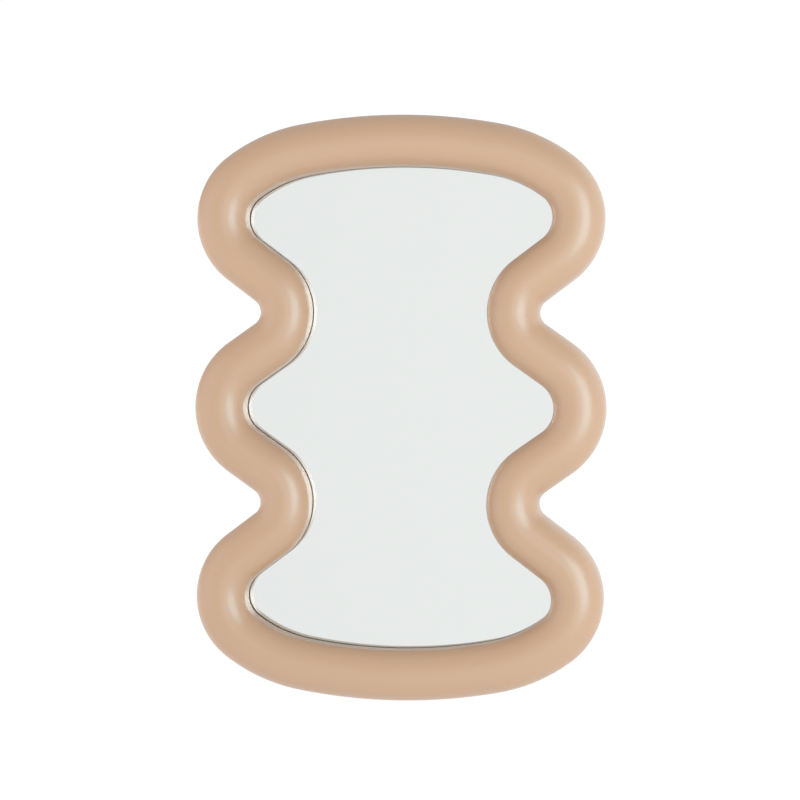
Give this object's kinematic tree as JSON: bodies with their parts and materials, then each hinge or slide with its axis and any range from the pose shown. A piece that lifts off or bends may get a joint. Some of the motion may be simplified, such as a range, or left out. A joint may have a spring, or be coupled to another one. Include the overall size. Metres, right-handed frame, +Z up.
{
  "type": "table mirror",
  "caption": "Wavy-framed table mirror: a rounded, lobed tube frame round shaped mirror glass, standing on its lower edge and on a hinged strut that folds flat behind it.",
  "frame": {"origin": "on the table, under the middle of the standing mirror's box", "axes": "+Z up from the table, +X to the right as seen from the front, +Y from the mirror's front to its strut; the glass faces -Y and leans back 12 degrees"},
  "size_m": [0.2114, 0.1033, 0.2948],
  "materials": {
    "frame_lacquer": "satin tan lacquer on cast resin",
    "mirror_silver": "polished, silvered behind",
    "grey_card": "raw grey card",
    "black_board": "black flocked face on fibreboard",
    "screw_steel": "black oxide",
    "hinge_steel": "zinc plated",
    "foot_rubber": "matt"
  },
  "bodies": {
    "mirror": {"frame": "frame_lacquer", "mirror_glass": "mirror_silver", "backing_card": "grey_card", "backing_board": "black_board", "backing_screws": "screw_steel", "hinge_board_leaf": "hinge_steel", "hinge_board_rivets": "hinge_steel", "hinge_pin": "hinge_steel"},
    "strut": {"hinge_strut_leaf": "hinge_steel", "hinge_strut_rivets": "hinge_steel", "strut_board": "black_board", "strut_foot": "foot_rubber"}
  },
  "joints": [
    {"name": "strut_fold", "type": "hinge", "parent": "mirror", "child": "strut", "pos_m": [0, 0.01208, 0.17896], "axis": [-1, 0, 0], "range_deg": [0, 23.5]}
  ]
}
